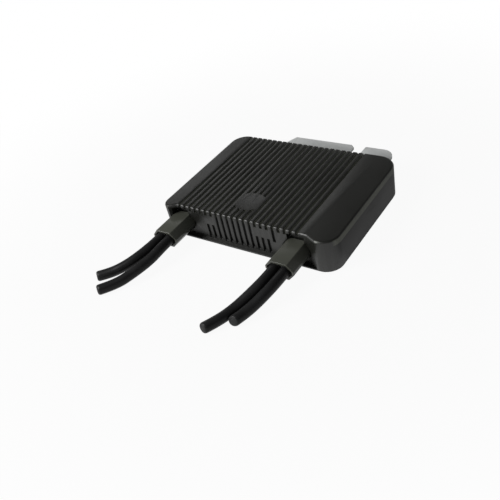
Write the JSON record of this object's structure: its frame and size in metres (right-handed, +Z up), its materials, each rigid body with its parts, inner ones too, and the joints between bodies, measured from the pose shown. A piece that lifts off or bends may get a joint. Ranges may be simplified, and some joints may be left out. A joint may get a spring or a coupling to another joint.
{
  "type": "solar power optimizer",
  "caption": "Flat black solar power optimizer with a ribbed moulded cover on a metal plate, two cable glands with short cut leads, and a slotted rail bracket.",
  "frame": {"origin": "middle of the housing's plan, on the underside of its base plate", "axes": "+Z up out of the ribbed top, +X along the cable side to the right as that side is looked at, +Y from the cable side to the bracket"},
  "size_m": [0.1696, 0.2119, 0.0269],
  "materials": {
    "cover": "black moulded plastic, fine grain, slight sheen",
    "plate": "aluminium sheet, black coated",
    "gland": "black moulded plastic, smooth",
    "lead_jacket": "black cross-linked jacket, satin",
    "bracket": "zinc-coated steel sheet, dull",
    "fastener": "stainless steel",
    "seal": "soft black silicone",
    "board": "green solder mask",
    "ferrite": "dark grey sintered ferrite",
    "copper": "enamelled copper",
    "film_capacitor": "moulded box",
    "can_capacitor": "drawn aluminium can",
    "chip": "moulded epoxy",
    "heat_pad": "soft grey silicone",
    "terminal": "tinned brass"
  },
  "bodies": {
    "root": {"base_plate": "plate", "housing_cover": "cover", "cover_gasket": "seal", "housing_screws": "fastener", "mounting_bracket": "bracket", "bracket_screws": "fastener", "cable_gland_left": "gland", "cable_gland_right": "gland", "gland_seal_left": "seal", "gland_seal_right": "seal", "cable_left_outer": "lead_jacket", "cable_left_inner": "lead_jacket", "cable_right_long": "lead_jacket", "cable_right_short": "lead_jacket", "circuit_board": "board", "inductor_core": "ferrite", "inductor_coil": "copper", "input_capacitors": "film_capacitor", "output_capacitors": "can_capacitor", "power_transistors": "chip", "thermal_pad": "heat_pad", "control_chip": "chip", "signal_transformer": "ferrite", "wire_terminals": "terminal", "lead_conductors": "copper"}
  },
  "joints": []
}
